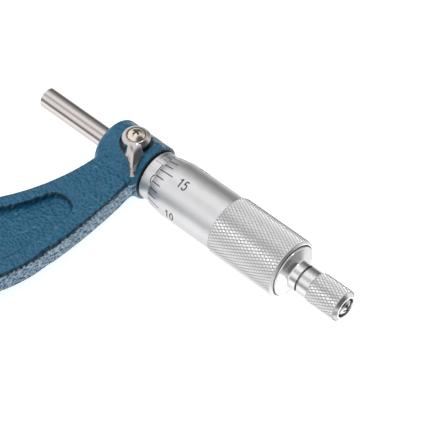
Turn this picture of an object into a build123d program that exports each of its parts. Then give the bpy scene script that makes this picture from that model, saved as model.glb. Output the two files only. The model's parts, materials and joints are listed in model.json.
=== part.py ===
from build123d import *
import math
import os

# Outside micrometer, 4 to 5 inch, with a cast C frame, lock lever and ratchet stop.
# Millimetres. The origin is the centre of the anvil's measuring face, +X runs along the
# spindle axis towards the thimble, +Z is the normal of the frame's front face and -Y points
# to the bottom of the C. The instrument lies flat, as on a bench.

# Measuring screw
range_lower = 101.6           # distance between the measuring faces at the zero line
range_span = 25.4             # travel of the spindle
screw_pitch = 0.635           # travel for one turn of the thimble
thimble_divisions = 25        # marks round the thimble's edge
shown_divisions = 15.85       # thimble reading of the modelled pose, in divisions

# Clearances
seat_clearance = 0.015        # radial, between pieces that are pressed or screwed together
running_clearance = 0.03      # radial, between pieces that turn or slide in each other
axial_clearance = 0.1         # between a turning face and the face that retains it
cut_past = 1.0                # how far a cut runs on past the face that it opens
pick_tolerance = 0.01         # for finding an edge by its place

# Spindle and anvil
spindle_radius = 3.25
rod_chamfer = 0.3             # at the measuring faces
thread_radius = 3.7
thread_runout_radius = 3.0
thread_runout_length = 1.0
thread_reserve = 1.7          # thread left behind the bush with the spindle closed
taper_shoulder = 1.0          # from the end of the thread to the taper
taper_radius = 3.3            # large end of the seat of the thimble
taper_slope = 0.06            # radius lost for each millimetre along the taper
taper_setback = 1.2           # from the small end to the thimble's rear seat
shoulder_chamfer = 0.4

# Frame arm: arcs of the outline, as seen from the front
frame_thickness = 7.6
arm_top = -1.0                # the arms end inside the bosses at this height
throat_overhang = 2.2         # the bosses stand this far out over the throat's arc
throat_center_y = -2.8
side_radius = 180.0
side_center_y = -28.0
side_inset = 0.2              # from the boss's rear face in to the widest place of the C
bottom_radius = 115.0
rim_width = 27.2              # width of the C at its bottom
corner_radius = 44.0
arm_edge_round = 1.1

# Recess in both faces of the frame
recess_depth = 2.5
recess_draft = 20.0
recess_inner_margin = 4.5     # rim left along the throat
recess_outer_margin = 5.5     # rim left along the outside
recess_top = -25.9
recess_end_round = 4.6
recess_floor_round = 1.0
recess_lip_round = 0.7

# Bosses
boss_radius = 8.8
boss_length = 17.4
boss_front_round = 1.8
boss_rear_round = 0.4
boss_setback = 2.0            # from the anvil's measuring face back to its boss
boss_fillet = 2.6             # between a boss and the faces of its arm
spindle_reserve = 2.0         # spindle left in front of its boss when fully open
boss_front_wall = 2.0         # wall in front of the bush

# Threaded bush and the pieces on it
bush_stem_radius = 5.5
bush_body_radius = 6.6
bush_relief_radius = 4.1
bush_relief_reserve = 0.6     # room in front of the screw thread when closed
bush_thread_length = 16.4
bush_nut_seat_length = 7.0    # reduced end that carries the adjusting nut
bush_slot_width = 0.7
bush_slot_count = 3
nut_radius = 6.5
nut_length = 4.6
nut_offset = 1.2              # from the bush's shoulder to the nut
nut_notch_width = 1.3
nut_notch_depth = 0.9
sleeve_radius = 7.7
sleeve_groove_radius = 6.9    # relief where the sleeve meets the boss
sleeve_groove_width = 0.6
sleeve_reserve = 2.2          # sleeve left inside the thimble when fully open
sleeve_end_gap = 0.2          # from the sleeve's end to the bush's shoulder
sleeve_key_hole_radius = 0.6
sleeve_key_hole_offset = 2.2
sleeve_key_hole_angle = 150.0  # about the axis, out of sight below

# Thimble
thimble_edge_gap = 3.2        # sleeve left in sight between the boss and the thimble
thimble_edge_radius = 8.05
thimble_barrel_radius = 8.9
thimble_bevel_length = 6.0
thimble_bore_radius = 7.75
thimble_knurl_radius = 9.5
thimble_knurl_offset = 25.8   # from the thimble's edge to its grip
thimble_grip_chamfer = 0.35
thimble_length = 50.2
thimble_end_chamfer = 0.6
thimble_recess_radius = 8.35
thimble_recess_depth = 1.1
washer_radius = 7.0
washer_thickness = 0.5

# Ratchet stop
stub_radius = 2.0
stub_length = 9.0
flange_radius = 8.1
flange_thickness = 1.2
flange_edge_round = 0.3
neck_radius = 4.5
neck_cove_radius = 0.4
neck_length = 4.0             # from the flange's rim to the end of the neck
flange_crown = 1.25           # rise of the flange's cone from its rim to the neck
wheel_radius = 3.5
wheel_thickness = 0.75
tooth_count = 12
tooth_height = 0.4
tooth_rise_share = 0.78       # part of the pitch taken by the sloping flank
tooth_root_radius = 2.3
pawl_clearance = 0.05         # between the meshed teeth
pawl_thickness = 1.6
pawl_travel = 0.45
lug_radius = 4.0
lug_width = 1.2
spigot_key_radius = 2.2
spigot_key_half_width = 1.75
spigot_radius = 1.7
knob_gap = 0.5                # open joint between the neck and the knob
knob_length = 15.0
knob_collar_length = 3.8
knob_radius = 5.0
knob_grip_chamfer = 0.4
knob_end_radius = 3.7
knob_end_chamfer = 1.2
knob_cavity_radius = 3.55
knob_cavity_depth = 6.4
knob_recess_radius = 3.2
knob_recess_depth = 2.0
spring_coil_radius = 2.95
spring_wire_width = 0.5       # flat wire, across the coil
spring_wire_thickness = 0.4   # along the coil's axis
spring_turns = 4.5
ratchet_screw_radius = 1.0
ratchet_screw_length = 6.0
ratchet_head_radius = 2.75
ratchet_head_height = 2.4     # to the top of its dome
ratchet_dome_radius = 3.6

# Lock
lock_offset = 10.0            # from the boss's front face to the lock's axis
lock_angle = -53.5            # direction of the lever from +X, in the modelled, open pose
lock_seat_radius = 5.0
lock_seat_height = 7.7
lock_screw_radius = 2.5
lock_screw_bottom = 5.8
lock_shoe_radius = 1.9
lock_shoe_gap = 0.17          # from the shoe to the spindle with the lock open
hub_radius = 4.25
hub_bottom = 8.05
hub_rim = 10.7                # height of the hub's outer edge
hub_top = 11.6                # height of the crown round the cap screw
hub_crown_radius = 3.2
hub_rim_round = 0.35
hub_recess_depth = 0.9
drive_width = 3.4             # square on top of the lock screw
drive_top = 10.2
cap_head_radius = 2.6
cap_head_height = 2.2         # to the top of its dome
cap_dome_radius = 3.2
cap_head_clearance = 0.2      # round the head in the hub's recess
cap_shank_radius = 1.0
cap_shank_length = 3.0

# Sections of the lever's leaf and of the blade at its end: reach from the hub's axis, half
# width, underside, shoulder, ridge
leaf_root = (2.95, 1.6, 9.5, 11.3, 11.55)
leaf_shoulder = (4.6, 2.1, 8.9, 10.5, 11.25)
leaf_waist = (6.8, 1.65, 8.05, 9.1, 10.15)
leaf_end = (9.9, 0.5, 6.8, 7.55, 8.15)
blade_root = (8.2, 0.5, 7.1, 7.95, 8.15)
blade_tip = (11.4, 0.4, 6.1, 6.75, 6.9)
leaf_bow = 0.06               # how far its flanks swell, as a share of their width
leaf_draft = 0.4              # spread of its sides for each millimetre downwards

# Cross recesses of the screws
ratchet_cross_span = 2.9
ratchet_cross_width = 0.75
cap_cross_span = 2.4
cap_cross_width = 0.6
cross_depth = 1.1
cap_cross_turn = 45.0         # of the cap screw's cross from the lever

# Stations that follow from the sizes above
shown_reading = shown_divisions / thimble_divisions * screw_pitch
spindle_face = range_lower + shown_reading
boss_front_station = range_lower + range_span + spindle_reserve
boss_rear_station = boss_front_station + boss_length
middle = (boss_front_station - boss_setback) / 2
anvil_boss_rear = -boss_setback - boss_length
throat_radius = boss_front_station - middle + throat_overhang
frame_depth = throat_radius - throat_center_y + rim_width
thimble_edge = boss_rear_station + thimble_edge_gap
sleeve_end = thimble_edge + range_span + sleeve_reserve
bush_nut_seat = sleeve_end + sleeve_end_gap
bush_end = bush_nut_seat + bush_nut_seat_length
bush_thread = bush_end - bush_thread_length
bush_guide_end = bush_thread - range_span - bush_relief_reserve
thread_start = bush_thread - range_span + shown_reading
thread_stop = bush_end + thread_reserve + shown_reading
taper_seat = thread_stop + taper_shoulder
thimble_end = thimble_edge + thimble_length
thimble_seat = thimble_end - thimble_recess_depth
flange_seat = thimble_seat + washer_thickness
flange_face = flange_seat + flange_thickness
neck_root = flange_face + flange_crown
neck_end = flange_face + neck_length
wheel_seat = neck_end - wheel_thickness
knob_front = neck_end + knob_gap
knob_end = knob_front + knob_length
knob_web_front = knob_front + knob_cavity_depth
knob_web_rear = knob_end - knob_recess_depth
spigot_end = knob_web_rear + axial_clearance
pawl_root = neck_end + tooth_height + pawl_clearance
pawl_rear = pawl_root + pawl_thickness
taper_end = thimble_seat - taper_setback
lock_station = boss_front_station + lock_offset
half_thickness = frame_thickness / 2


def turned(*corners):
    """Solid turned about the spindle axis from (station, radius) corners."""
    outline = make_face(Polyline(*corners, close=True))
    return revolve(outline, Axis.X)


def ring(start, end, outer, inner=0):
    """Plain turned ring or rod between two stations."""
    return turned((start, inner), (end, inner), (end, outer), (start, outer))


def circles_at(solid, station):
    """Circular edges of a turned solid at a station, from the smallest to the largest."""
    circles = solid.edges().filter_by(GeomType.CIRCLE)
    near = circles.filter_by_position(Axis.X, station - pick_tolerance, station + pick_tolerance)
    return near.sort_by(SortBy.RADIUS)


def upright(x, bottom, top, outer):
    """Round rod along Z over a point of the spindle axis."""
    return Pos(x, 0, (bottom + top) / 2) * Cylinder(outer, top - bottom)


def upright_turned(*corners):
    """Solid turned about the Z axis from (radius, height) corners."""
    outline = make_face(Polyline(*corners, close=True))
    return revolve(Plane.XZ * outline, Axis.Z)


def cross_recess(span, width):
    """Cross-shaped driver recess that opens at the origin towards +Z."""
    along_x = Box(span, width, 2 * cross_depth)
    along_y = Box(width, span, 2 * cross_depth)
    return along_x + along_y


def double_flat(start, end, radius, half_width):
    """Round length with two flats, which keeps a wheel from turning on it."""
    length = end - start
    flats = Pos(start + length / 2, 0, 0) * Box(length, 2 * half_width, 2 * radius)
    return ring(start, end, radius) & flats


def on_circle(center, radius, target):
    """Point of a circle in the direction of another point."""
    away = math.hypot(target[0] - center[0], target[1] - center[1])
    return (
        center[0] + radius * (target[0] - center[0]) / away,
        center[1] + radius * (target[1] - center[1]) / away,
    )


def inside_both(center_a, reach_a, center_b, reach_b):
    """Point at given distances from two centres, on their lower right."""
    dx = center_b[0] - center_a[0]
    dy = center_b[1] - center_a[1]
    apart = math.hypot(dx, dy)
    along = (reach_a**2 - reach_b**2 + apart**2) / (2 * apart)
    across = math.sqrt(reach_a**2 - along**2)
    return (
        center_a[0] + (along * dx + across * dy) / apart,
        center_a[1] + (along * dy - across * dx) / apart,
    )


def height_on_arc(center, radius, y):
    """Point of an arc's right half at a given height."""
    return (center[0] + math.sqrt(radius**2 - (y - center[1]) ** 2), y)


def mirrored(point):
    """The same point on the other side of the frame's middle line."""
    return (2 * middle - point[0], point[1])


def c_outline(inner_margin, outer_margin, top):
    """Face of the C between the throat's arc and the outer arcs, pulled in by two margins."""
    throat_center = (middle, throat_center_y)
    side_center = (boss_rear_station - side_inset - side_radius, side_center_y)
    bottom_center = (middle, bottom_radius - frame_depth)
    corner_center = inside_both(
        side_center, side_radius - corner_radius, bottom_center, bottom_radius - corner_radius
    )
    inner_radius = throat_radius + inner_margin
    side = side_radius - outer_margin
    corner = corner_radius - outer_margin
    bottom = bottom_radius - outer_margin

    inner_top = height_on_arc(throat_center, inner_radius, top)
    outer_top = height_on_arc(side_center, side, top)
    side_end = on_circle(side_center, side, corner_center)
    corner_end = on_circle(bottom_center, bottom, corner_center)
    side_middle = height_on_arc(side_center, side, (top + side_end[1]) / 2)
    corner_chord = ((side_end[0] + corner_end[0]) / 2, (side_end[1] + corner_end[1]) / 2)
    corner_middle = on_circle(corner_center, corner, corner_chord)
    lowest_inner = (middle, throat_center_y - inner_radius)
    lowest_outer = (middle, bottom_center[1] - bottom)

    edges = [
        ThreePointArc(mirrored(inner_top), lowest_inner, inner_top),
        Line(inner_top, outer_top),
        ThreePointArc(outer_top, side_middle, side_end),
        ThreePointArc(side_end, corner_middle, corner_end),
        ThreePointArc(corner_end, lowest_outer, mirrored(corner_end)),
        ThreePointArc(mirrored(corner_end), mirrored(corner_middle), mirrored(side_end)),
        ThreePointArc(mirrored(side_end), mirrored(side_middle), mirrored(outer_top)),
        Line(mirrored(outer_top), mirrored(inner_top)),
    ]
    return make_face(edges)


def make_recess():
    """Drafted pocket of the front face, with rounded ends and a rounded floor."""
    outline = c_outline(recess_inner_margin, recess_outer_margin, recess_top)
    ends = outline.vertices().group_by(Axis.Y)[-1]
    outline = fillet(ends, recess_end_round)
    mouth = Pos(0, 0, half_thickness) * outline
    pocket = extrude(mouth, amount=recess_depth, dir=(0, 0, -1), taper=recess_draft)
    floor = pocket.faces().sort_by(Axis.Z)[0]
    return fillet(floor.edges(), recess_floor_round)


def make_boss(front, rear):
    """Round boss on the spindle axis, more rounded on its end towards the gap."""
    boss = ring(min(front, rear), max(front, rear), boss_radius)
    boss = fillet(circles_at(boss, front), boss_front_round)
    return fillet(circles_at(boss, rear), boss_rear_round)


def make_frame():
    """One-piece cast frame: C-shaped arm, recesses, two bosses and their bores."""
    arm = extrude(c_outline(0, 0, arm_top), amount=half_thickness, both=True)
    faces = arm.faces().filter_by(Axis.Z)
    rim = [edge for face in faces for edge in face.edges() if edge.geom_type == GeomType.CIRCLE]
    arm = fillet(rim, arm_edge_round)
    recess = make_recess()
    arm = arm - recess - mirror(recess, Plane.XY)
    lips = [wire for face in arm.faces().filter_by(Axis.Z) for wire in face.inner_wires()]
    arm = fillet([edge for wire in lips for edge in wire.edges()], recess_lip_round)

    casting = arm
    casting += make_boss(boss_front_station, boss_rear_station)
    casting += make_boss(-boss_setback, anvil_boss_rear)
    meet_y = -math.sqrt(boss_radius**2 - half_thickness**2)
    joints = casting.edges().filter_by(
        lambda edge: edge.geom_type == GeomType.LINE
        and abs(edge.center().Y - meet_y) < pick_tolerance
        and abs(abs(edge.center().Z) - half_thickness) < pick_tolerance
    )
    casting = fillet(joints, boss_fillet)

    casting -= ring(anvil_boss_rear, -boss_setback, spindle_radius + seat_clearance)
    casting -= ring(boss_front_station, boss_rear_station, spindle_radius + axial_clearance)
    bush_start = boss_front_station + boss_front_wall
    casting -= ring(bush_start, boss_rear_station, bush_stem_radius + seat_clearance)
    casting -= upright(
        lock_station, lock_seat_height, boss_radius + cut_past, lock_seat_radius
    )
    casting -= upright(lock_station, 0, boss_radius, lock_screw_radius + seat_clearance)
    return casting


def make_anvil():
    """Fixed rod pressed into the far boss, with a chamfered measuring face."""
    rear = anvil_boss_rear + axial_clearance
    return turned(
        (rear, 0), (rear, spindle_radius), (-rod_chamfer, spindle_radius),
        (0, spindle_radius - rod_chamfer), (0, 0),
    )


def make_spindle():
    """Ground rod, screw length, and the taper on which the thimble is seated."""
    small_taper = taper_radius - taper_slope * (taper_end - taper_seat)
    body = turned(
        (spindle_face, 0),
        (spindle_face, spindle_radius - rod_chamfer),
        (spindle_face + rod_chamfer, spindle_radius),
        (thread_start, spindle_radius),
        (thread_start, thread_runout_radius),
        (thread_start + thread_runout_length, thread_runout_radius),
        (thread_start + thread_runout_length, thread_radius - shoulder_chamfer),
        (thread_start + thread_runout_length + shoulder_chamfer, thread_radius),
        (thread_stop - shoulder_chamfer, thread_radius),
        (thread_stop, taper_radius),
        (taper_seat, taper_radius),
        (taper_end, small_taper),
        (taper_end, 0),
    )
    tapped = ring(flange_seat - stub_length - axial_clearance, taper_end, stub_radius + seat_clearance)
    return body - tapped


def make_threaded_bush():
    """Bush in the boss: plain guide, relieved middle, and a slotted nut end."""
    start = boss_front_station + boss_front_wall
    body = turned(
        (start, 0), (start, bush_stem_radius), (boss_rear_station, bush_stem_radius),
        (boss_rear_station, bush_body_radius), (bush_nut_seat, bush_body_radius),
        (bush_nut_seat, bush_stem_radius), (bush_end, bush_stem_radius), (bush_end, 0),
    )
    body -= ring(start, bush_guide_end, spindle_radius + running_clearance)
    body -= ring(bush_guide_end, bush_thread, bush_relief_radius)
    body -= ring(bush_thread, bush_end, thread_radius + running_clearance)
    slot_center = bush_nut_seat + bush_nut_seat_length / 2
    slot = Pos(slot_center, 0, bush_stem_radius / 2) * Box(
        bush_nut_seat_length, bush_slot_width, bush_stem_radius
    )
    for number in range(bush_slot_count):
        body -= Rot(360 * number / bush_slot_count, 0, 0) * slot
    body -= upright(
        lock_station, 0, bush_stem_radius + cut_past, lock_shoe_radius + running_clearance
    )
    return body


def make_adjusting_nut():
    """Ring nut that closes the slotted end of the bush on the screw."""
    start = bush_nut_seat + nut_offset
    nut = ring(start, start + nut_length, nut_radius, bush_stem_radius + seat_clearance)
    notch = Pos(start + nut_length, 0, nut_radius) * Box(
        nut_length, nut_notch_width, 2 * nut_notch_depth
    )
    return nut - notch - Rot(180, 0, 0) * notch


def make_graduated_sleeve():
    """Sleeve with the datum line; a small hole takes the key that sets its zero."""
    bore_radius = bush_body_radius + seat_clearance
    sleeve = ring(boss_rear_station, sleeve_end, sleeve_groove_radius, bore_radius)
    groove_end = boss_rear_station + sleeve_groove_width
    sleeve += ring(groove_end, sleeve_end, sleeve_radius, bore_radius)
    key_hole = Rot(sleeve_key_hole_angle, 0, 0) * upright(
        boss_rear_station + sleeve_key_hole_offset, bush_body_radius - cut_past,
        sleeve_radius + cut_past, sleeve_key_hole_radius,
    )
    return sleeve - key_hole


def make_thimble():
    """Thimble: bevelled edge, barrel, grip, taper seat and a recess for the ratchet flange."""
    grip = thimble_edge + thimble_knurl_offset
    bevel_end = thimble_edge + thimble_bevel_length
    small_taper = taper_radius - taper_slope * (thimble_seat - taper_seat)
    return turned(
        (thimble_edge, thimble_bore_radius),
        (thimble_edge, thimble_edge_radius),
        (bevel_end, thimble_barrel_radius),
        (grip, thimble_barrel_radius),
        (grip + thimble_grip_chamfer, thimble_knurl_radius),
        (thimble_end - thimble_end_chamfer, thimble_knurl_radius),
        (thimble_end, thimble_knurl_radius - thimble_end_chamfer),
        (thimble_end, thimble_recess_radius),
        (thimble_seat, thimble_recess_radius),
        (thimble_seat, small_taper + seat_clearance),
        (taper_seat, taper_radius + seat_clearance),
        (taper_seat, thimble_bore_radius),
    )


def make_thimble_washer():
    """Thin washer between the thimble and the ratchet's flange."""
    return ring(thimble_seat, flange_seat, washer_radius, stub_radius + axial_clearance)


def make_ratchet_shaft():
    """Screwed stub, polished flange crowned up to the neck, and the knob's spigot."""
    socket_radius = wheel_radius + seat_clearance
    body = turned(
        (flange_seat - stub_length, 0),
        (flange_seat - stub_length, stub_radius),
        (flange_seat, stub_radius),
        (flange_seat, flange_radius),
        (flange_face, flange_radius),
        (neck_root, neck_radius),
        (neck_end, neck_radius),
        (neck_end, socket_radius),
        (wheel_seat, socket_radius),
        (wheel_seat, 0),
    )
    body = fillet(circles_at(body, neck_root), neck_cove_radius)
    body = fillet(circles_at(body, flange_face), flange_edge_round)
    body += double_flat(wheel_seat, neck_end, spigot_key_radius, spigot_key_half_width)
    body += ring(neck_end, spigot_end, spigot_radius)
    hole_depth = ratchet_screw_length + axial_clearance
    return body - ring(spigot_end - hole_depth, spigot_end, ratchet_screw_radius + seat_clearance)


def make_face_teeth(root, inner_radius, outer_radius):
    """Saw-shaped teeth with radial crests that stand up from a station towards +X."""
    pitch = 2 * math.pi / tooth_count
    teeth = []
    for number in range(tooth_count):
        corners = []
        for radius in (inner_radius, outer_radius):
            for share, height in ((0, 0), (1, 0), (tooth_rise_share, tooth_height)):
                angle = pitch * (number + share)
                corners.append((root + height, radius * math.cos(angle), radius * math.sin(angle)))
        inner = Face(Wire.make_polygon(corners[:3]))
        outer = Face(Wire.make_polygon(corners[3:]))
        teeth.append(loft([inner, outer], ruled=True))
    return teeth


def make_ratchet_fixed_wheel():
    """Hardened wheel on the shaft's flats, with a ring of face teeth."""
    wheel = ring(wheel_seat, neck_end, wheel_radius)
    wheel -= double_flat(
        wheel_seat, neck_end, spigot_key_radius + seat_clearance,
        spigot_key_half_width + seat_clearance,
    )
    return wheel + make_face_teeth(neck_end, tooth_root_radius, wheel_radius)


def make_ratchet_pawl_ring():
    """Sliding ring with the matching teeth, keyed in the knob by two lugs."""
    front = neck_end + pawl_clearance
    pawl = ring(front, pawl_rear, wheel_radius - running_clearance, spigot_key_radius)
    for tooth in make_face_teeth(front, spigot_radius, lug_radius):
        pawl -= tooth
    lug_length = pawl_rear - pawl_root
    lugs = Pos(pawl_root + lug_length / 2, 0, 0) * Box(lug_length, lug_width, 2 * lug_radius)
    reach = ring(pawl_root, pawl_rear, lug_radius, tooth_root_radius)
    return pawl + (lugs & reach)


def make_ratchet_spring():
    """Flat-wire coil spring between the sliding ring and the knob's web."""
    first = pawl_rear + spring_wire_thickness / 2
    height = knob_web_front - spring_wire_thickness / 2 - first
    path = Helix(
        pitch=height / spring_turns, height=height, radius=spring_coil_radius,
        center=(first, 0, 0), direction=(1, 0, 0),
    )
    start = path @ 0
    across = Vector(0, start.Y, start.Z)
    wire = Plane(start, x_dir=across, z_dir=path % 0) * Rectangle(
        spring_wire_width, spring_wire_thickness
    )
    return sweep(wire, path=path, is_frenet=True)


def make_ratchet_knob():
    """Knob: plain collar, grip, spring cavity with keyways, web and screw recess."""
    grip = knob_front + knob_collar_length
    body = turned(
        (knob_front, 0),
        (knob_front, neck_radius),
        (grip, neck_radius),
        (grip + knob_grip_chamfer, knob_radius),
        (knob_end - knob_end_chamfer, knob_radius),
        (knob_end, knob_end_radius),
        (knob_end, 0),
    )
    body -= ring(knob_front, knob_web_front, knob_cavity_radius)
    body -= ring(knob_web_front, knob_web_rear, spigot_radius + running_clearance)
    body -= ring(knob_web_rear, knob_end, knob_recess_radius)
    keyway_end = pawl_rear + pawl_travel + axial_clearance
    keyway_length = keyway_end - knob_front
    keyways = Pos(knob_front + keyway_length / 2, 0, 0) * Box(
        keyway_length, lug_width + 2 * running_clearance, 2 * lug_radius
    )
    return body - (keyways & ring(knob_front, keyway_end, lug_radius + running_clearance))


def make_ratchet_screw():
    """Dome-headed screw in the spigot's end that holds the knob on."""
    head_top = spigot_end + ratchet_head_height
    dome_center = head_top - ratchet_dome_radius
    dome = Pos(dome_center, 0, 0) * Rot(0, 90, 0) * Sphere(ratchet_dome_radius)
    head = ring(spigot_end, head_top, ratchet_head_radius) & dome
    shank = ring(spigot_end - ratchet_screw_length, spigot_end, ratchet_screw_radius)
    cross = cross_recess(ratchet_cross_span, ratchet_cross_width)
    return head + shank - Pos(head_top, 0, 0) * Rot(0, 90, 0) * cross


def make_lock_shoe():
    """Soft shoe that the lock screw presses on the spindle."""
    shoe = upright(lock_station, 0, lock_screw_bottom, lock_shoe_radius)
    return shoe - ring(
        lock_station - boss_length, lock_station + boss_length, spindle_radius + lock_shoe_gap
    )


def make_lock_stud():
    """Lock screw with a square that drives it and a tapped hole for the cap screw."""
    stud = upright(lock_station, lock_screw_bottom, hub_bottom, lock_screw_radius)
    stud += Pos(lock_station, 0, (hub_bottom + drive_top) / 2) * Rot(0, 0, lock_angle) * Box(
        drive_width, drive_width, drive_top - hub_bottom
    )
    hole_bottom = hub_top - hub_recess_depth - cap_shank_length - axial_clearance
    return stud - upright(lock_station, hole_bottom, drive_top, cap_shank_radius + seat_clearance)


def lever_section(reach, half_width, underside, shoulder, ridge):
    """Section of the lever: flat below, drafted sides and two bowed flanks up to a ridge."""
    flank_y = half_width * (0.5 + leaf_bow)
    flank_z = (shoulder + ridge) / 2 + leaf_bow * half_width
    foot = half_width + leaf_draft * (shoulder - underside)
    left, right = (reach, -half_width, shoulder), (reach, half_width, shoulder)
    left_foot, right_foot = (reach, -foot, underside), (reach, foot, underside)
    return Face(
        Wire(
            [
                Line(left_foot, right_foot),
                Line(right_foot, right),
                ThreePointArc(right, (reach, flank_y, flank_z), (reach, 0, ridge)),
                ThreePointArc((reach, 0, ridge), (reach, -flank_y, flank_z), left),
                Line(left, left_foot),
            ]
        )
    )


def make_lock_lever():
    """Crowned hub and a ridged leaf that slopes down beside the boss and ends in a blade."""
    hub = upright_turned(
        (0, hub_bottom), (hub_radius, hub_bottom), (hub_radius, hub_rim),
        (hub_crown_radius, hub_top), (0, hub_top),
    )
    rims = hub.edges().filter_by(GeomType.CIRCLE).group_by(Axis.Z)
    hub = fillet(rims[-1] + rims[-2], hub_rim_round)
    stations = (leaf_root, leaf_shoulder, leaf_waist, leaf_end)
    lever = hub + loft([lever_section(*station) for station in stations])
    lever += loft([lever_section(*blade_root), lever_section(*blade_tip)])
    square = drive_width + 2 * seat_clearance
    lever -= Box(square, square, 2 * hub_top)
    recess_radius = cap_head_radius + cap_head_clearance
    lever -= Pos(0, 0, hub_top) * Cylinder(recess_radius, 2 * hub_recess_depth)
    return Pos(lock_station, 0, 0) * Rot(0, 0, lock_angle) * lever


def make_lock_cap_screw():
    """Dome-headed screw that holds the lever on the lock screw."""
    seat = hub_top - hub_recess_depth
    head_top = seat + cap_head_height
    dome = Pos(lock_station, 0, head_top - cap_dome_radius) * Sphere(cap_dome_radius)
    head = upright(lock_station, seat, head_top, cap_head_radius) & dome
    shank = upright(lock_station, seat - cap_shank_length, seat, cap_shank_radius)
    turn = Rot(0, 0, lock_angle + cap_cross_turn)
    cross = turn * cross_recess(cap_cross_span, cap_cross_width)
    return head + shank - Pos(lock_station, 0, head_top) * cross


pieces = {
    "frame": make_frame,
    "anvil": make_anvil,
    "threaded_bush": make_threaded_bush,
    "adjusting_nut": make_adjusting_nut,
    "graduated_sleeve": make_graduated_sleeve,
    "spindle": make_spindle,
    "thimble": make_thimble,
    "thimble_washer": make_thimble_washer,
    "ratchet_shaft": make_ratchet_shaft,
    "ratchet_fixed_wheel": make_ratchet_fixed_wheel,
    "ratchet_pawl_ring": make_ratchet_pawl_ring,
    "ratchet_spring": make_ratchet_spring,
    "ratchet_knob": make_ratchet_knob,
    "ratchet_screw": make_ratchet_screw,
    "lock_shoe": make_lock_shoe,
    "lock_stud": make_lock_stud,
    "lock_lever": make_lock_lever,
    "lock_cap_screw": make_lock_cap_screw,
}

os.makedirs("parts", exist_ok=True)
for name, make in pieces.items():
    export_step(make(), f"parts/{name}.step")
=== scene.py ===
import json
import math

import bmesh
import bpy
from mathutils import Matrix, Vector


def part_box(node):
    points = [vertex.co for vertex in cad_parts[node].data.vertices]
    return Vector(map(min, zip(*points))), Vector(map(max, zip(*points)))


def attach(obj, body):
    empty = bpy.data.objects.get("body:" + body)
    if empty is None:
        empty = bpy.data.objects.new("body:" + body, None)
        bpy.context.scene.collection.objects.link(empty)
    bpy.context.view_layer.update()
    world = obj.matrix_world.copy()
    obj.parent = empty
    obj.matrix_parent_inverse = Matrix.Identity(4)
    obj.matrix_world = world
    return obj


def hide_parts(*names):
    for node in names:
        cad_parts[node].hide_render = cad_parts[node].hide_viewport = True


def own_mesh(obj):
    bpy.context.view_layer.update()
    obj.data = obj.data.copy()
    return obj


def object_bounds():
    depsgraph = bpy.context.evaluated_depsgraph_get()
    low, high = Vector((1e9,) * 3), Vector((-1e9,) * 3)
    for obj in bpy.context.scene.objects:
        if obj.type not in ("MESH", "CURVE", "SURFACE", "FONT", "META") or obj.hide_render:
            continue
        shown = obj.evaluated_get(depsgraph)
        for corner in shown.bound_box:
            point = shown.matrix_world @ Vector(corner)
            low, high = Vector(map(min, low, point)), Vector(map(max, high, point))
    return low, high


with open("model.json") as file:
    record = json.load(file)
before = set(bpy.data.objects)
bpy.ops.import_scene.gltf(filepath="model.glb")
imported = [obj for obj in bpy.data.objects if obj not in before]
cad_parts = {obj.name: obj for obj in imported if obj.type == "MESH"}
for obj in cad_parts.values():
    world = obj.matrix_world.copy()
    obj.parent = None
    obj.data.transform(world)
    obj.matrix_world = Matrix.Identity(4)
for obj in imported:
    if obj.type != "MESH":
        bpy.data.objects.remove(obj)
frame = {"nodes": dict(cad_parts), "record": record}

# Outside micrometer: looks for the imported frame, in the frame's own axes. The origin is the
# centre of the anvil's measuring face, +X runs along the spindle's axis towards the thimble and
# +Z is the front of the frame. Sizes named here are in millimetres and a station is a place
# along X. Angles about the spindle's axis go from the top (+Z) towards the user's side (-Y).

MM = 0.001
cad_low, cad_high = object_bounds()


def span(node):
    """Lowest and highest station of a node along the spindle axis."""
    low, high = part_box(node)
    return low[0] / MM, high[0] / MM


# Stations and heights of the solids
boss_rear, sleeve_end = span("graduated_sleeve")
thimble_front, thimble_end = span("thimble")
spindle_face = span("spindle")[0]
knob_front, knob_end = span("ratchet_knob")
lock_station = sum(span("lock_stud")) / 2
cap_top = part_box("lock_cap_screw")[1][2] / MM
screw_top = span("ratchet_screw")[1]

# Thimble
EDGE_SETBACK = 1.1            # of the sharp edge behind the solid's front
EDGE_RADIUS = 8.05
EDGE_BREAK = 0.08             # of sharp corners
THIMBLE_BORE = 7.75
BEVEL_LENGTH = 4.9
BEVEL_BLEND = 0.3             # each way from the corner between bevel and barrel
BEVEL_BLEND_DROP = 0.045      # of the blend's front under the barrel
BARREL_RADIUS = 8.9
GRIP_OFFSET = 25.8            # from the solid's front
GRIP_RADIUS = 9.5
GRIP_STEP = 0.12              # shallow steps at both ends of the grip
GRIP_CORE_BREAK = 0.1
END_CHAMFER = 0.6
END_CORNER = [(0.1, 0.63), (0.0, 0.72)]   # in front of the end, and under the grip
END_RECESS_RADIUS = 8.48
END_RECESS_DEPTH = 1.1
TAPER_OFFSET = 37.89          # from the solid's front to the taper seat
TAPER_BORES = (3.32, 2.65)
thimble_edge = thimble_front + EDGE_SETBACK

# Ratchet knob
COLLAR_RADIUS = 4.5
COLLAR_LENGTH = 3.8
COLLAR_BREAK = 0.15
KNOB_RADIUS = 5.0
KNOB_CORE_SLOPES = (0.2, 0.15)            # behind the collar, and into the end chamfer
KNOB_END_CHAMFER = 1.2
KNOB_CORNER = [(0.1, 3.76), (0.0, 3.66)]  # in front of the end, and radius
KNOB_RECESS_RADIUS = 3.2
KNOB_RECESS_DEPTH = 2.0
KNOB_CAVITY_RADIUS = 3.55
KNOB_CAVITY_DEPTH = 6.4
KNOB_SEGMENTS = 120
SPIGOT_BORE = 1.73

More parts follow.
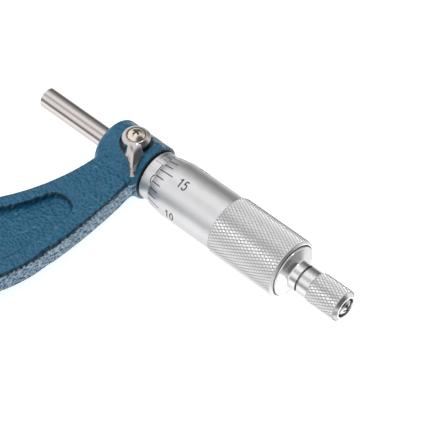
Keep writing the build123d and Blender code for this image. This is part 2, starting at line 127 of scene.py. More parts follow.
# Diamond knurling
KNURL_DEPTH = 0.31
KNURL_LAND = 0.16             # share of a diamond that stays flat on top
KNURL_ANGLE = 29.0            # of the grooves from the spindle axis
KNURL_CORE_GAP = 0.02         # from the grooves down to the core
KNURL_CHAMFER_STEPS = 4
GRIP_KNURLS = 56              # grooves of one hand round the thimble's grip
GRIP_KNURL_CHAMFERS = (0.3, 0.15)
KNOB_KNURLS = 30
KNOB_KNURL_CHAMFERS = (0.3, 0.3)
KNOB_KNURL_SHIFTS = (0.1, 0.3)            # behind the collar, and past the end chamfer's start
GROOVE_SHARE = 0.35           # share of the depth, from the top, without the grooves' painted shade
WELD_REACH = 1e-7             # metres
CUT_REACH = 1e-5

# Graduations
PITCH = 0.635
TRAVEL = 25.4
DIVISIONS = 25
SHOWN_DIVISIONS = 15.85
DATUM_ANGLE = 6.0
MARK_LIFT = 0.012
STROKE_STEP = 0.3             # longest straight piece of a stroke
DIGIT_ADVANCE = 0.66          # for a height of 1
THIMBLE_LINES = (5.2, 3.4)    # ends of the numbered and the plain lines, from the edge
THIMBLE_LINE_START = 0.1
THIMBLE_LINE_WIDTH = 0.31
THIMBLE_NUMBERS = (7.7, 2.8, 0.39)        # distance from the edge, height, stroke
SLEEVE_RADIUS = 7.7
SLEEVE_MARGIN = 0.3           # clear of marks at the sleeve's end
SLEEVE_LINES = (25.0, 15.0)   # degrees that the numbered and the plain lines reach
SLEEVE_LINE_WIDTH = 0.25
SLEEVE_NUMBERS = (-0.5, 38.0, 2.5, 0.3)   # shift, degrees from the datum, height, stroke
LINES_FOR_NUMBER = 4
DATUM_START = 1.2             # behind the boss
DATUM_WIDTH = 0.12
VERNIER_PARTS = 10
VERNIER_STEP = 0.9            # thimble divisions
VERNIER_LINE_START = 2.4
VERNIER_LINE_WIDTH = 0.18
VERNIER_NUMBERS = (1.3, 1.2, 0.17)        # distance from the boss, height, stroke

# Lock
BOSS_RADIUS = 8.8
POCKET_RADIUS = 4.97
POCKET_FLOOR = 7.75
HUB_RADIUS = 4.25
HUB_RECESS_RADIUS = 2.8
CAP_HEAD_RADIUS = 2.6
CAP_HEAD_HEIGHT = 2.2

# Painted shade in gaps and recesses: black pieces where there is only shade
CAP_CROSS = (1.18, 0.29, 3.2)             # half span, half width, radius of the screw's dome
SCREW_CROSS = (1.43, 0.36, 3.6)
CROSS_DEPTH = 1.0
CROSS_SINK = 0.05             # of its top under the dome
CAP_GAP_HEIGHTS = (0.02, 0.55)            # over the head's seat
CAP_GAP_PLAY = 0.01           # from the metal on both sides
POCKET_GAP = 0.05             # from the hub
POCKET_SINK = 0.12            # of its top under the boss's skin
LOCK_SEGMENTS = 96
GAP_SHADES = [                   # name, body, start, end, inner and outer radius
    ("sleeve_groove_shade", "frame_assembly", boss_rear + 0.02, boss_rear + 0.56, 6.9, 6.96),
    ("boss_end_shade", "frame_assembly", boss_rear + 0.01, boss_rear + 0.04, 6.9, 8.1),
    (
        "flange_gap_shade", "thimble_assembly",
        thimble_end - 1.08, thimble_end - 0.07, 8.12, 8.49,
    ),
    ("knob_joint_shade", "ratchet_knob_assembly", knob_front - 0.02, knob_front, 3.6, 4.3),
    ("knob_recess_shade", "ratchet_knob_assembly", knob_end - 1.9, knob_end - 0.6, 2.78, 3.19),
]

SHARP_ANGLE = 35.0            # degrees between faces from which an edge stays sharp

# Worked metal. Scales of noise are in waves per metre along each axis.
ROUND_LINES = (7000, 120, 120)
LONG_LINES = (160, 5200, 5200)
ALL_WAYS = (2600, 2600, 2600)
CLOUDS = (160, 160, 160)
CLOUD_SHARE = 0.94            # colour of a metal where its clouds are darkest
LINE_RELIEF = 0.02
ROUGHNESS_SPREAD = (0.85, 1.2)
NOISE_RANGE = (0.25, 0.75)    # values that noise seldom leaves

# Hammered enamel with painted shade on its edges, and the black of ink and of painted shade
ENAMEL_CELLS = 1000.0
ENAMEL_WAVES = (420, 420, 420)
ENAMEL_TINTS = ((0.005, 0.104, 0.200), (0.012, 0.150, 0.278))
ENAMEL_RELIEF = 0.55
EDGE_SHADE_LEVEL = 0.38             # brightness of the enamel under its painted shade on the arms' edges and recess walls
EDGE_HEIGHTS = (-9.0, -11.0)  # Y over which that begins, below the bosses
EDGE_FACES = (1.9, 2.7)       # distance from the middle plane, likewise
EDGE_TILTS = (0.985, 0.85)    # Z of the surface's normal, likewise
# Black of the engraved ink and of the painted shade pieces
INK_AND_SHADE_TINTS = ((0.012, 0.012, 0.014), (0.045, 0.045, 0.048))

# Photograph's camera. Directions have an azimuth, 0 on -Y and 90 on +X, and an elevation.
CAMERA_AZIMUTH = 42.4
CAMERA_ELEVATION = 50.7
CAMERA_DISTANCE = 850.0
CAMERA_SCALE = 3.474          # photograph pixels for each millimetre at the target
PHOTO_WIDTH = 448
SENSOR_WIDTH = 36.0
TARGET_OFFSET = 71.45         # from the spindle's face along the axis
TARGET_RISE_PIXELS = 2.0      # the target shows this far above the picture's middle

# Floor and surroundings. Each patch has the azimuth, elevation, inner and outer angle of a soft
# round place, and its brightness as a share of what lies under it.
FLOOR_SIDE = 12000.0
FLOOR_DROP = 0.2              # below the instrument
FLOOR_COLOR = (0.9, 0.9, 0.9, 1)
FLOOR_GLOW = 0.78
SKY_LEVEL = 1.1
GROUND_LEVEL = 1.0
HORIZON = (-0.3, -0.05)       # Z of the direction, from ground to sky
SKY_PATCHES = [
    (205, 12, 0, 55, 0.13),
    (90, 26, 24, 60, 0.12),
    (-26, 2, 4, 22, 0.3),
    (-48, 57, 0, 16, 0.45),
    (221, 51, 0, 9, 0.8),
    (194, 68, 3, 7, 8.0),
]
GROUND_PATCHES = [
    (120, -16, 10, 26, 0.3),
    (106, -51, 8, 25, 4.5),
    (42, -32, 8, 25, 0.35),
    (-25, -28, 5, 25, 1.3),
]


# Node helpers

def new_material(name):
    """Material with its node tree and its main shader."""
    made = bpy.data.materials.new(name)
    made.use_nodes = True
    return made, made.node_tree, made.node_tree.nodes["Principled BSDF"]


def add_node(tree, kind, values=None, **settings):
    """Shader node with its settings and the constants of its inputs."""
    made = tree.nodes.new(kind)
    for key, value in settings.items():
        setattr(made, key, value)
    for key, value in (values or {}).items():
        made.inputs[key].default_value = value
    return made


def computed(tree, operation, *values):
    """Result of a Math node. Each value is a number or the output of another node."""
    made = add_node(tree, "ShaderNodeMath", operation=operation)
    for place, value in zip(made.inputs, values):
        if isinstance(value, bpy.types.NodeSocket):
            tree.links.new(value, place)
        else:
            place.default_value = value
    return made.outputs[0]


def ranged(tree, value, start, end, low=0.0, high=1.0, interpolation="LINEAR"):
    """Value that goes from low to high while its source goes from start to end."""
    made = add_node(
        tree, "ShaderNodeMapRange",
        {"From Min": start, "From Max": end, "To Min": low, "To Max": high},
        interpolation_type=interpolation,
    )
    tree.links.new(value, made.inputs["Value"])
    return made.outputs["Result"]


def mixed(tree, factor, first, second):
    """Colour that goes from the first to the second with a factor."""
    made = add_node(
        tree, "ShaderNodeMix", {"A": (*first, 1), "B": (*second, 1)}, data_type="RGBA"
    )
    tree.links.new(factor, made.inputs["Factor"])
    return made.outputs["Result"]


def shaded(tree, color, share):
    """Colour made darker by a share."""
    made = add_node(tree, "ShaderNodeVectorMath", operation="SCALE")
    tree.links.new(color, made.inputs[0])
    tree.links.new(share, made.inputs["Scale"])
    return made.outputs["Vector"]


def scaled_noise(tree, scale, detail=3.0):
    """Noise in object space with its own scale along each axis, in waves per metre."""
    place = add_node(tree, "ShaderNodeTexCoord")
    stretch = add_node(tree, "ShaderNodeMapping", {"Scale": scale})
    noise = add_node(
        tree, "ShaderNodeTexNoise", {"Scale": 1.0, "Detail": detail, "Roughness": 0.55}
    )
    tree.links.new(place.outputs["Object"], stretch.inputs["Vector"])
    tree.links.new(stretch.outputs["Vector"], noise.inputs["Vector"])
    return noise.outputs["Fac"]


def bumped(tree, shader, height, strength, relief):
    """Bump on a shader from a height; gives the bent normal."""
    bump = add_node(tree, "ShaderNodeBump", {"Strength": strength, "Distance": relief * MM})
    tree.links.new(height, bump.inputs["Height"])
    tree.links.new(bump.outputs["Normal"], shader.inputs["Normal"])
    return bump.outputs["Normal"]


# Materials

def metal(name, color, roughness, line_scale, line_bump):
    """Worked metal: fine tool lines in its roughness and relief, and slight cloudiness."""
    made, tree, shader = new_material(name)
    shader.inputs["Metallic"].default_value = 1.0
    lines = scaled_noise(tree, line_scale)
    clouds = scaled_noise(tree, CLOUDS, detail=2.0)
    low, high = (roughness * share for share in ROUGHNESS_SPREAD)
    gloss = ranged(tree, lines, *NOISE_RANGE, low, high)
    tint = mixed(tree, clouds, [CLOUD_SHARE * c for c in color], color)
    tree.links.new(gloss, shader.inputs["Roughness"])
    tree.links.new(tint, shader.inputs["Base Color"])
    bumped(tree, shader, lines, line_bump, LINE_RELIEF)
    return made


def knurled_metal(name, color, roughness, radius, groove_shade):
    """Metal of a knurled grip, with painted shade down in its grooves."""
    made = metal(name, color, roughness, ALL_WAYS, 0.1)
    tree = made.node_tree
    shader = tree.nodes["Principled BSDF"]
    plain = shader.inputs["Base Color"].links[0].from_socket
    place = add_node(tree, "ShaderNodeTexCoord")
    across = add_node(tree, "ShaderNodeVectorMath", {1: (0, 1, 1)}, operation="MULTIPLY")
    reach = add_node(tree, "ShaderNodeVectorMath", operation="LENGTH")
    tree.links.new(place.outputs["Object"], across.inputs[0])
    tree.links.new(across.outputs["Vector"], reach.inputs[0])
    share = ranged(
        tree, reach.outputs["Value"],
        (radius - KNURL_DEPTH) * MM, (radius - GROOVE_SHARE * KNURL_DEPTH) * MM, groove_shade,
    )
    tree.links.new(shaded(tree, plain, share), shader.inputs["Base Color"])
    return made


def edge_shade(tree, place):
    """Painted shade on the enamel: darker on the rounded edges and recess walls of the arms."""
    spot = add_node(tree, "ShaderNodeSeparateXYZ")
    facing = add_node(tree, "ShaderNodeSeparateXYZ")
    tree.links.new(place.outputs["Object"], spot.inputs["Vector"])
    tree.links.new(place.outputs["Normal"], facing.inputs["Vector"])
    off_middle = computed(tree, "ABSOLUTE", spot.outputs["Z"])
    flatness = computed(tree, "ABSOLUTE", facing.outputs["Z"])
    share = 1.0
    for source, start, end in (
        (spot.outputs["Y"], EDGE_HEIGHTS[0] * MM, EDGE_HEIGHTS[1] * MM),
        (off_middle, EDGE_FACES[0] * MM, EDGE_FACES[1] * MM),
        (flatness, *EDGE_TILTS),
    ):
        step = ranged(tree, source, start, end, interpolation="SMOOTHSTEP")
        share = computed(tree, "MULTIPLY", share, step)
    return ranged(tree, share, 0.0, 1.0, 1.0, EDGE_SHADE_LEVEL)


def blue_enamel():
    """Hammered enamel: pebbled, with a clear skin, slightly uneven colour and painted shade on
    the arms' edges and recess walls.
    """
    made, tree, shader = new_material("blue_enamel")
    place = add_node(tree, "ShaderNodeTexCoord")
    cells = add_node(
        tree, "ShaderNodeTexVoronoi",
        {"Scale": ENAMEL_CELLS, "Randomness": 1.0, "Smoothness": 0.8}, feature="SMOOTH_F1",
    )
    tree.links.new(place.outputs["Object"], cells.inputs["Vector"])
    waves = scaled_noise(tree, ENAMEL_WAVES, detail=1.0)
    height = computed(tree, "MULTIPLY_ADD", cells.outputs["Distance"], -1.0, waves)
    tint = mixed(tree, waves, *ENAMEL_TINTS)
    tree.links.new(shaded(tree, tint, edge_shade(tree, place)), shader.inputs["Base Color"])
    shader.inputs["Roughness"].default_value = 0.4
    shader.inputs["Specular IOR Level"].default_value = 0.2
    shader.inputs["Coat Weight"].default_value = 0.55
    shader.inputs["Coat Roughness"].default_value = 0.07
    normal = bumped(tree, shader, height, 0.9, ENAMEL_RELIEF)
    tree.links.new(normal, shader.inputs["Coat Normal"])
    return made


def black_fill():
    """Ink in the engraved marks, and the black of the painted shade pieces in gaps and recesses.
    """
    made, tree, shader = new_material("black_fill")
    worn = scaled_noise(tree, (1500, 1500, 1500))
    tree.links.new(mixed(tree, worn, *INK_AND_SHADE_TINTS), shader.inputs["Base Color"])
    shader.inputs["Roughness"].default_value = 0.55
    return made


finishes = {
    "blue_enamel": blue_enamel(),
    "ground_steel": metal("ground_steel", (0.68, 0.63, 0.61), 0.14, ROUND_LINES, 0.3),
    "hardened_steel": metal("hardened_steel", (0.42, 0.42, 0.43), 0.32, ROUND_LINES, 0.4),
    "satin_chrome": metal("satin_chrome", (0.76, 0.76, 0.77), 0.4, LONG_LINES, 0.18),
    "knob_chrome": metal("knob_chrome", (0.78, 0.78, 0.79), 0.24, ROUND_LINES, 0.2),
    "polished_chrome": metal("polished_chrome", (0.82, 0.82, 0.82), 0.2, ROUND_LINES, 0.1),
    "spring_steel": metal("spring_steel", (0.40, 0.40, 0.42), 0.25, ALL_WAYS, 0.3),
    "screw_steel": metal("screw_steel", (0.52, 0.52, 0.52), 0.14, ALL_WAYS, 0.15),
    "brass": metal("brass", (0.72, 0.53, 0.26), 0.3, ROUND_LINES, 0.3),
    "polished_nickel": metal("polished_nickel", (0.58, 0.545, 0.53), 0.08, ALL_WAYS, 0.1),
    "warm_nickel": metal("warm_nickel", (0.80, 0.70, 0.60), 0.16, ALL_WAYS, 0.1),
}
# Black for the marks' ink and for the pieces of painted shade
ink_and_shade = black_fill()
# The last number is the brightness of the painted shade down in the grooves
grip_finish = knurled_metal("grip_chrome", (0.85, 0.85, 0.86), 0.34, GRIP_RADIUS, 0.58)
knob_finish = knurled_metal("knob_knurl_chrome", (0.90, 0.90, 0.91), 0.3, KNOB_RADIUS, 0.5)


def paint(target, finish):
    """Gives a mesh one material."""
    target.data.materials.clear()
    target.data.materials.append(finish)


# Mesh helpers

def add_piece(build, name, body, slot, finish=None, node=None):
    """Adds a bmesh to the scene, smooth but for its sharp edges, paints it and hangs it on its
    body.
    """
    mesh = bpy.data.meshes.new(name)
    build.to_mesh(mesh)
    build.free()
    mesh.shade_smooth()
    mesh.set_sharp_from_angle(angle=math.radians(SHARP_ANGLE))
    piece = bpy.data.objects.new(name, mesh)
    bpy.context.scene.collection.objects.link(piece)
    paint(piece, finish or finishes[slot])
    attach(piece, body)
    if node:
        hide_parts(node)


def around(station, radius, degrees):
    """Point about the spindle axis, at an angle from the top towards the user's side."""
    turn = math.radians(degrees)
    return Vector((station, -radius * math.sin(turn), radius * math.cos(turn))) * MM


def join_rings(build, rings, closed=True):
    """Adds the faces between neighbouring rows of corners, all the way round."""
    for number, far in enumerate(rings):
        near = rings[number - 1]
        for index in range(0 if closed else 1, len(far)):
            build.faces.new((near[index - 1], near[index], far[index], far[index - 1]))


def add_lathe(build, outline, segments=180):
    """Adds a closed (station, radius) outline turned about the spindle axis."""
    rings = []
    for number in range(segments):
        degrees = 360 * number / segments
        rings.append([build.verts.new(around(x, r, degrees)) for x, r in outline])
    join_rings(build, rings)


def add_upright_lathe(build, outline_at, closed=True):
    """Adds the (radius, height) outlines that outline_at(y) gives, round the lock's axis."""
    rings = []
    for number in range(LOCK_SEGMENTS):
        turn = 2 * math.pi * number / LOCK_SEGMENTS
        x, y = math.cos(turn), math.sin(turn)
        rings.append([
            build.verts.new(Vector((lock_station + r * x, r * y, z)) * MM)
            for r, z in outline_at(y)
        ])
    join_rings(build, rings, closed)


def add_knurl(build, start, end, radius, count, chamfers):
    """Adds a sleeve of truncated diamonds, with its ends cut off by two chamfers."""
    half_width = math.pi * radius / count
    half_length = half_width / math.tan(math.radians(KNURL_ANGLE))
    flat = bmesh.new()
    columns = math.ceil((end - start) / half_length) + 2
    for column in range(-1, columns):
        for row in range(2 * count):
            if (column + row) % 2:
                continue
            middle_x = start + column * half_length
            middle_v = row * half_width
            low, top = [], []
            for across, up in ((1, 0), (0, 1), (-1, 0), (0, -1)):
                x = across * half_length
                v = up * half_width
                low.append(flat.verts.new((middle_x + x, middle_v + v, -KNURL_DEPTH)))
                top.append(
                    flat.verts.new((middle_x + KNURL_LAND * x, middle_v + KNURL_LAND * v, 0))
                )
            flat.faces.new(top)
            for index in range(4):
                flat.faces.new((low[index - 1], low[index], top[index], top[index - 1]))
    shares = [step / KNURL_CHAMFER_STEPS for step in range(1, KNURL_CHAMFER_STEPS + 1)]
    cuts = [start, end]
    cuts += [start + chamfers[0] * share for share in shares]
    cuts += [end - chamfers[1] * share for share in shares]
    for station in cuts:
        everything = flat.verts[:] + flat.edges[:] + flat.faces[:]
        bmesh.ops.bisect_plane(
            flat, geom=everything, plane_co=(station, 0, 0), plane_no=(1, 0, 0),
            dist=CUT_REACH, clear_outer=station == end, clear_inner=station == start,
        )
    for vert in flat.verts:
        x, v, height = vert.co
        room_start = x - start - chamfers[0]
        room_end = end - chamfers[1] - x
        out = radius + min(height, room_start, room_end)
        vert.co = around(x, out, math.degrees(v / radius))
    bmesh.ops.remove_doubles(flat, verts=flat.verts, dist=WELD_REACH)
    shell = bpy.data.meshes.new("knurl")
    flat.to_mesh(shell)
    flat.free()
    build.from_mesh(shell)


def thimble_radius(station):
    """Outer radius of the thimble in front of its grip."""
    share = min(max((station - thimble_edge) / BEVEL_LENGTH, 0), 1)
    return EDGE_RADIUS + share * (BARREL_RADIUS - EDGE_RADIUS)


def sleeve_radius(_station):
    """Outer radius of the sleeve, the same at every station."""
    return SLEEVE_RADIUS


# Engraved marks

def bow(center_u, center_v, half_u, half_v, start, end, steps=14):
    """Points of an elliptic arc, in degrees counted from the right, upwards."""
    points = []
    for step in range(steps + 1):
        turn = math.radians(start + (end - start) * step / steps)
        points.append((center_u + half_u * math.cos(turn), center_v + half_v * math.sin(turn)))
    return points


# Strokes of each digit, for a height of 1
DIGIT_STROKES = {
    "0": [bow(0.24, 0.5, 0.2, 0.5, 90, 450, 24)],
    "1": [[(0.08, 0.78), (0.3, 1), (0.3, 0)]],
    "2": [bow(0.24, 0.73, 0.21, 0.27, 165, -40) + [(0.03, 0), (0.46, 0)]],
    "3": [bow(0.23, 0.76, 0.19, 0.24, 150, -90) + bow(0.23, 0.27, 0.22, 0.27, 90, -150)],
    "4": [[(0.35, 0), (0.35, 1), (0.02, 0.28), (0.47, 0.28)]],
    "5": [[(0.43, 1), (0.1, 1), (0.07, 0.57)] + bow(0.23, 0.32, 0.22, 0.32, 125, -150)],
    "6": [bow(0.5, 0.3, 0.46, 0.7, 110, 180, 8) + bow(0.24, 0.3, 0.2, 0.3, 180, 540, 20)],
    "7": [[(0.03, 1), (0.46, 1), (0.17, 0)]],
    "8": [bow(0.24, 0.76, 0.18, 0.24, 270, 630, 20), bow(0.24, 0.27, 0.22, 0.27, 90, 450, 20)],
    "9": [bow(0.24, 0.7, 0.2, 0.3, 0, 360, 20) + bow(-0.02, 0.7, 0.46, 0.7, 0, -70, 8)],
}


def add_stroke(build, path, width, place):
    """Adds a flat stroke along (u, v) points, laid on a round surface by place(u, v)."""
    points = [Vector(path[0])]
    for corner in path[1:]:
        start, end = points[-1], Vector(corner)
        pieces = max(1, math.ceil((end - start).length / STROKE_STEP))
        points += [start.lerp(end, step / pieces) for step in range(1, pieces + 1)]
    rails = []
    for index, point in enumerate(points):
        before = points[max(index - 1, 0)]
        after = points[min(index + 1, len(points) - 1)]
        side = (after - before).normalized().orthogonal() * width / 2
        rails.append([build.verts.new(place(*(point + s * side))) for s in (1, -1)])
    for one, two in zip(rails, rails[1:]):
        build.faces.new((one[0], one[1], two[1], two[0]))


def barrel_place(radius_at, station, degrees):
    """Function that lays (u along the axis, v upwards) on a turned surface."""
    def place(u, v):
        radius = radius_at(station + u)
        return around(station + u, radius + MARK_LIFT, degrees - math.degrees(v / radius))
    return place


def add_line(build, radius_at, start, end, degrees, width):
    """Adds a line along the axis."""
    place = barrel_place(radius_at, start, degrees)
    add_stroke(build, [(0, 0), (end - start, 0)], width, place)


def add_tick(build, radius_at, station, first, last, width):
    """Adds a line round the axis, between two angles."""
    length = math.radians(last - first) * radius_at(station)
    place = barrel_place(radius_at, station, last)
    add_stroke(build, [(0, 0), (0, length)], width, place)


def add_number(build, radius_at, number, station, degrees, height, width):
    """Adds a number that reads along the axis and is centred on an angle."""
    for position, digit in enumerate(str(number)):
        offset = position * DIGIT_ADVANCE * height
        place = barrel_place(radius_at, station + offset, degrees)
        for stroke in DIGIT_STROKES[digit]:
            path = [(u * height, (v - 0.5) * height) for u, v in stroke]
            add_stroke(build, path, width, place)


def make_thimble_marks():
    """Division lines round the thimble's edge, every fifth longer and numbered."""
    build = bmesh.new()
    offset, height, stroke = THIMBLE_NUMBERS
    for number in range(DIVISIONS):
        numbered = number % 5 == 0
        degrees = DATUM_ANGLE + (SHOWN_DIVISIONS - number) * 360 / DIVISIONS
        add_line(
            build, thimble_radius, thimble_edge + THIMBLE_LINE_START,
            thimble_edge + THIMBLE_LINES[0 if numbered else 1], degrees, THIMBLE_LINE_WIDTH,
        )
        if numbered:
            add_number(
                build, thimble_radius, number, thimble_edge + offset, degrees, height, stroke
            )
    add_piece(build, "thimble_marks", "thimble_assembly", "satin_chrome", finish=ink_and_shade)


def make_sleeve_marks():
    """Datum line, main scale on the user's side and vernier on the other side."""
    build = bmesh.new()
    zero = thimble_edge - SHOWN_DIVISIONS / DIVISIONS * PITCH
    last = sleeve_end - SLEEVE_MARGIN
    add_line(build, sleeve_radius, boss_rear + DATUM_START, last, DATUM_ANGLE, DATUM_WIDTH)
    shift, turn, height, stroke = SLEEVE_NUMBERS
    for number in range(round(TRAVEL / PITCH) + 1):
        numbered = number % LINES_FOR_NUMBER == 0
        reach = DATUM_ANGLE + SLEEVE_LINES[0 if numbered else 1]
        station = zero + number * PITCH
        add_tick(build, sleeve_radius, station, DATUM_ANGLE, reach, SLEEVE_LINE_WIDTH)
        if numbered:
            digit = number // LINES_FOR_NUMBER % 10
            add_number(
                build, sleeve_radius, digit, station + shift, DATUM_ANGLE + turn, height, stroke
            )
    offset, height, stroke = VERNIER_NUMBERS
    for number in range(1, VERNIER_PARTS + 1):
        degrees = DATUM_ANGLE - number * VERNIER_STEP * 360 / DIVISIONS
        add_number(
            build, sleeve_radius, number % 10, boss_rear + offset, degrees, height, stroke
        )
        add_line(
            build, sleeve_radius, boss_rear + VERNIER_LINE_START, last, degrees,
            VERNIER_LINE_WIDTH,
        )
    add_piece(build, "sleeve_marks", "frame_assembly", "satin_chrome", finish=ink_and_shade)


# Thimble and ratchet knob

def make_thimble():
    """Thimble with its bevel, barrel, knurled grip and the recess for the ratchet flange."""
    corner = thimble_edge + BEVEL_LENGTH
    grip = thimble_front + GRIP_OFFSET
    core = GRIP_RADIUS - KNURL_DEPTH - KNURL_CORE_GAP
    grip_end = thimble_end - END_CHAMFER
    seat = thimble_end - END_RECESS_DEPTH
    taper = thimble_front + TAPER_OFFSET
    build = bmesh.new()
    add_lathe(
        build,
        [
            (thimble_edge, THIMBLE_BORE),
            (thimble_edge, EDGE_RADIUS - EDGE_BREAK),
            (thimble_edge + EDGE_BREAK, EDGE_RADIUS),
            (corner - BEVEL_BLEND, BARREL_RADIUS - BEVEL_BLEND_DROP),
            (corner + BEVEL_BLEND, BARREL_RADIUS),
            (grip - GRIP_STEP, BARREL_RADIUS),
            (grip - GRIP_STEP, BARREL_RADIUS - GRIP_STEP),
            (grip, BARREL_RADIUS - GRIP_STEP),
            (grip, core - GRIP_CORE_BREAK),
            (grip + GRIP_CORE_BREAK, core),
            (grip_end, core),
            (grip_end, GRIP_RADIUS - GRIP_STEP),
            (grip_end + GRIP_STEP, GRIP_RADIUS - GRIP_STEP),
            *((thimble_end - back, GRIP_RADIUS - drop) for back, drop in END_CORNER),
            (thimble_end, END_RECESS_RADIUS + EDGE_BREAK),
            (thimble_end - EDGE_BREAK, END_RECESS_RADIUS),
            (seat, END_RECESS_RADIUS),
            (seat, TAPER_BORES[1]),
            (taper, TAPER_BORES[0]),
            (taper, THIMBLE_BORE),
        ],
    )
    add_piece(build, "thimble_body", "thimble_assembly", "satin_chrome", node="thimble")
    build = bmesh.new()
    add_knurl(build, grip, grip_end, GRIP_RADIUS, GRIP_KNURLS, GRIP_KNURL_CHAMFERS)
    add_piece(build, "thimble_knurl", "thimble_assembly", "satin_chrome", finish=grip_finish)


def make_knob():
    """Ratchet knob: plain collar, knurled grip and the recess round its screw."""
    grip = knob_front + COLLAR_LENGTH
    core = KNOB_RADIUS - KNURL_DEPTH - KNURL_CORE_GAP
    chamfer_start = knob_end - KNOB_END_CHAMFER
    web_front = knob_front + KNOB_CAVITY_DEPTH
    web_rear = knob_end - KNOB_RECESS_DEPTH
    build = bmesh.new()
    add_lathe(
        build,
        [
            (knob_front, KNOB_CAVITY_RADIUS),
            (knob_front, COLLAR_RADIUS - COLLAR_BREAK),
            (knob_front + COLLAR_BREAK, COLLAR_RADIUS),
            (grip, COLLAR_RADIUS),
            (grip + KNOB_CORE_SLOPES[0], core),
            (chamfer_start + KNOB_CORE_SLOPES[1], core),
            *((knob_end - back, radius) for back, radius in KNOB_CORNER),
            (knob_end, KNOB_RECESS_RADIUS + EDGE_BREAK),
            (knob_end - EDGE_BREAK, KNOB_RECESS_RADIUS),
            (web_rear, KNOB_RECESS_RADIUS),
            (web_rear, SPIGOT_BORE),
            (web_front, SPIGOT_BORE),
            (web_front, KNOB_CAVITY_RADIUS),
        ],
        KNOB_SEGMENTS,
    )
    add_piece(build, "knob_body", "ratchet_knob_assembly", "knob_chrome", node="ratchet_knob")
    build = bmesh.new()
    add_knurl(
        build, grip + KNOB_KNURL_SHIFTS[0], chamfer_start + KNOB_KNURL_SHIFTS[1],
        KNOB_RADIUS, KNOB_KNURLS, KNOB_KNURL_CHAMFERS,
    )
    add_piece(build, "knob_knurl", "ratchet_knob_assembly", "knob_chrome", finish=knob_finish)


# Painted shade in gaps and recesses

def make_linings():
    """Black rings of painted shade in the narrow gaps: sleeve groove, boss, flange and knob."""
    for name, body, start, end, inner, outer in GAP_SHADES:
        build = bmesh.new()
        add_lathe(build, [(start, inner), (start, outer), (end, outer), (end, inner)])
        add_piece(build, name, body, "satin_chrome", finish=ink_and_shade)


def add_cross(build, apex, axis, half_span, half_width, dome_radius):
    """Adds a plus-shaped piece of painted shade in a cross recess, just under the dome of its
    screw.
    """
    apex, toward = Vector(apex), Vector(axis)
    along = toward.orthogonal().normalized()
    across = toward.cross(along)
    w, s = half_width, half_span
    outline = [
        (s, -w), (s, w), (w, w), (w, s), (-w, s), (-w, w),
        (-s, w), (-s, -w), (-w, -w), (-w, -s), (w, -s), (w, -w),
    ]
    rim, foot = [], []
    for u, v in outline:
        drop = dome_radius - math.sqrt(dome_radius**2 - u**2 - v**2)
        flat = apex + along * u + across * v
        rim.append(build.verts.new((flat - toward * (drop + CROSS_SINK)) * MM))
        foot.append(build.verts.new((flat - toward * CROSS_DEPTH) * MM))
    middle = build.verts.new((apex - toward * CROSS_SINK) * MM)
    for index in range(len(outline)):
        build.faces.new((rim[index - 1], rim[index], middle))
        build.faces.new((foot[index - 1], foot[index], rim[index], rim[index - 1]))


def make_screw_crosses():
    """Painted shade down in the cross recesses of the two screws."""
    build = bmesh.new()
    add_cross(build, (lock_station, 0, cap_top), (0, 0, 1), *CAP_CROSS)
    add_piece(build, "cap_cross_shade", "lock_assembly", "warm_nickel", finish=ink_and_shade)
    build = bmesh.new()
    add_cross(build, (screw_top, 0, 0), (1, 0, 0), *SCREW_CROSS)
    add_piece(build, "ratchet_cross_shade", "ratchet_knob_assembly", "screw_steel", finish=ink_and_shade)


def cap_gap_outline(_y):
    """Section of the painted shade ring in the gap round the cap screw's head, the same all
    round.
    """
    low, high = (cap_top - CAP_HEAD_HEIGHT + height for height in CAP_GAP_HEIGHTS)
    inner, outer = CAP_HEAD_RADIUS + CAP_GAP_PLAY, HUB_RECESS_RADIUS - CAP_GAP_PLAY
    return [(inner, low), (outer, low), (outer, high), (inner, high)]


def pocket_outline(y):
    """Painted shade on the floor and wall of the lever's pocket, where the boss's round skin ends
    the wall.
    """
    skin = math.sqrt(BOSS_RADIUS**2 - (POCKET_RADIUS * y) ** 2) - POCKET_SINK
    return [
        (HUB_RADIUS + POCKET_GAP, POCKET_FLOOR),
        (POCKET_RADIUS, POCKET_FLOOR),
        (POCKET_RADIUS, max(POCKET_FLOOR, skin)),
    ]


def make_lock_shades():
    """Painted shade round the cap screw and down in the pocket that the lever's hub sits in."""
    build = bmesh.new()
    add_upright_lathe(build, cap_gap_outline)
    add_piece(build, "cap_gap_shade", "lock_assembly", "polished_nickel", finish=ink_and_shade)
    build = bmesh.new()
    add_upright_lathe(build, pocket_outline, closed=False)
    add_piece(build, "lock_pocket_shade", "frame_assembly", "blue_enamel", finish=ink_and_shade)


def fold_spring():
    """Gives the ratchet's spring a mesh of its own."""
    spring = frame["nodes"]["ratchet_spring"]
    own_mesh(spring)


# Floor, surroundings and camera

def direction(azimuth, elevation):
    """Unit vector to a place round the object."""
    turn, rise = math.radians(azimuth), math.radians(elevation)
    return Vector(
        (math.cos(rise) * math.sin(turn), -math.cos(rise) * math.cos(turn), math.sin(rise))
    )


def make_floor():
    """Pale floor under the instrument; the camera sees it burnt out to white."""
    half = FLOOR_SIDE / 2 * MM
    level = cad_low[2] - FLOOR_DROP * MM
    build = bmesh.new()
    corners = [(-half, -half), (half, -half), (half, half), (-half, half)]
    build.faces.new([build.verts.new((x, y, level)) for x, y in corners])
    mesh = bpy.data.meshes.new("floor")
    build.to_mesh(mesh)
    build.free()
    floor = bpy.data.objects.new("floor", mesh)
    bpy.context.scene.collection.objects.link(floor)
    made, tree, shader = new_material("floor_white")
    grain = scaled_noise(tree, (30, 30, 30))
    gloss = ranged(tree, grain, *NOISE_RANGE, 0.6, 0.7)
    tree.links.new(gloss, shader.inputs["Roughness"])
    shader.inputs["Base Color"].default_value = FLOOR_COLOR
    shader.inputs["Emission Strength"].default_value = FLOOR_GLOW
    shader.inputs["Emission Color"].default_value = (1, 1, 1, 1)
    mesh.materials.append(made)
    floor.visible_diffuse = False
    floor.visible_glossy = False
    floor.visible_shadow = False


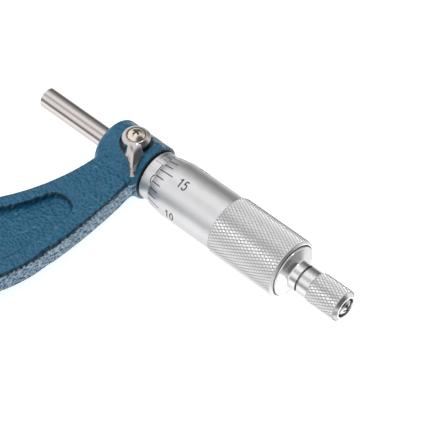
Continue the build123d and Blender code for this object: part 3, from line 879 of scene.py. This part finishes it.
def patched(tree, level, aim, patches):
    """Brightness of plain surroundings with soft round patches, for a direction."""
    for azimuth, elevation, inner, outer, share in patches:
        dot = add_node(
            tree, "ShaderNodeVectorMath", {1: direction(azimuth, elevation)},
            operation="DOT_PRODUCT",
        )
        tree.links.new(aim, dot.inputs[0])
        fade = ranged(
            tree, dot.outputs["Value"],
            math.cos(math.radians(outer)), math.cos(math.radians(inner)), 1.0, share,
            "SMOOTHSTEP" if inner else "LINEAR",
        )
        level = computed(tree, "MULTIPLY", level, fade)
    return level


def make_world():
    """White surroundings with soft dark and bright patches; the camera sees plain white."""
    world = bpy.data.worlds.new("light_tent")
    bpy.context.scene.world = world
    world.use_nodes = True
    tree = world.node_tree
    background = tree.nodes["Background"]
    aim = add_node(tree, "ShaderNodeTexCoord").outputs["Generated"]
    above = patched(tree, SKY_LEVEL, aim, SKY_PATCHES)
    below = patched(tree, GROUND_LEVEL, aim, GROUND_PATCHES)
    apart = add_node(tree, "ShaderNodeSeparateXYZ")
    tree.links.new(aim, apart.inputs["Vector"])
    horizon = ranged(tree, apart.outputs["Z"], *HORIZON, interpolation="SMOOTHSTEP")
    joined = add_node(tree, "ShaderNodeMix", data_type="FLOAT")
    tree.links.new(horizon, joined.inputs["Factor"])
    tree.links.new(below, joined.inputs["A"])
    tree.links.new(above, joined.inputs["B"])
    path = add_node(tree, "ShaderNodeLightPath")
    seen = add_node(tree, "ShaderNodeMix", {"B": SKY_LEVEL}, data_type="FLOAT")
    tree.links.new(path.outputs["Is Camera Ray"], seen.inputs["Factor"])
    tree.links.new(joined.outputs["Result"], seen.inputs["A"])
    tree.links.new(seen.outputs["Result"], background.inputs["Strength"])
    background.inputs["Color"].default_value = (1, 1, 1, 1)


def make_camera():
    """Camera at the photograph's angle, distance and scale."""
    data = bpy.data.cameras.new("photo_camera")
    data.sensor_width = SENSOR_WIDTH
    data.lens = CAMERA_SCALE * CAMERA_DISTANCE * SENSOR_WIDTH / PHOTO_WIDTH
    data.shift_y = -TARGET_RISE_PIXELS / PHOTO_WIDTH
    data.clip_start = 0.01
    data.clip_end = 50
    camera = bpy.data.objects.new("photo_camera", data)
    bpy.context.scene.collection.objects.link(camera)
    target = Vector(((spindle_face + TARGET_OFFSET) * MM, 0, 0))
    toward = direction(CAMERA_AZIMUTH, CAMERA_ELEVATION)
    camera.location = target + toward * CAMERA_DISTANCE * MM
    camera.rotation_euler = (target - camera.location).to_track_quat("-Z", "Y").to_euler()
    bpy.context.scene.camera = camera


for part in frame["record"]["subparts"]:
    paint(frame["nodes"][part["node"]], finishes[part["material_slot"]])
make_thimble()
make_linings()
make_screw_crosses()
make_lock_shades()
make_thimble_marks()
make_sleeve_marks()
make_knob()
fold_spring()
make_floor()
make_world()
make_camera()
bpy.context.scene.view_settings.view_transform = "Standard"
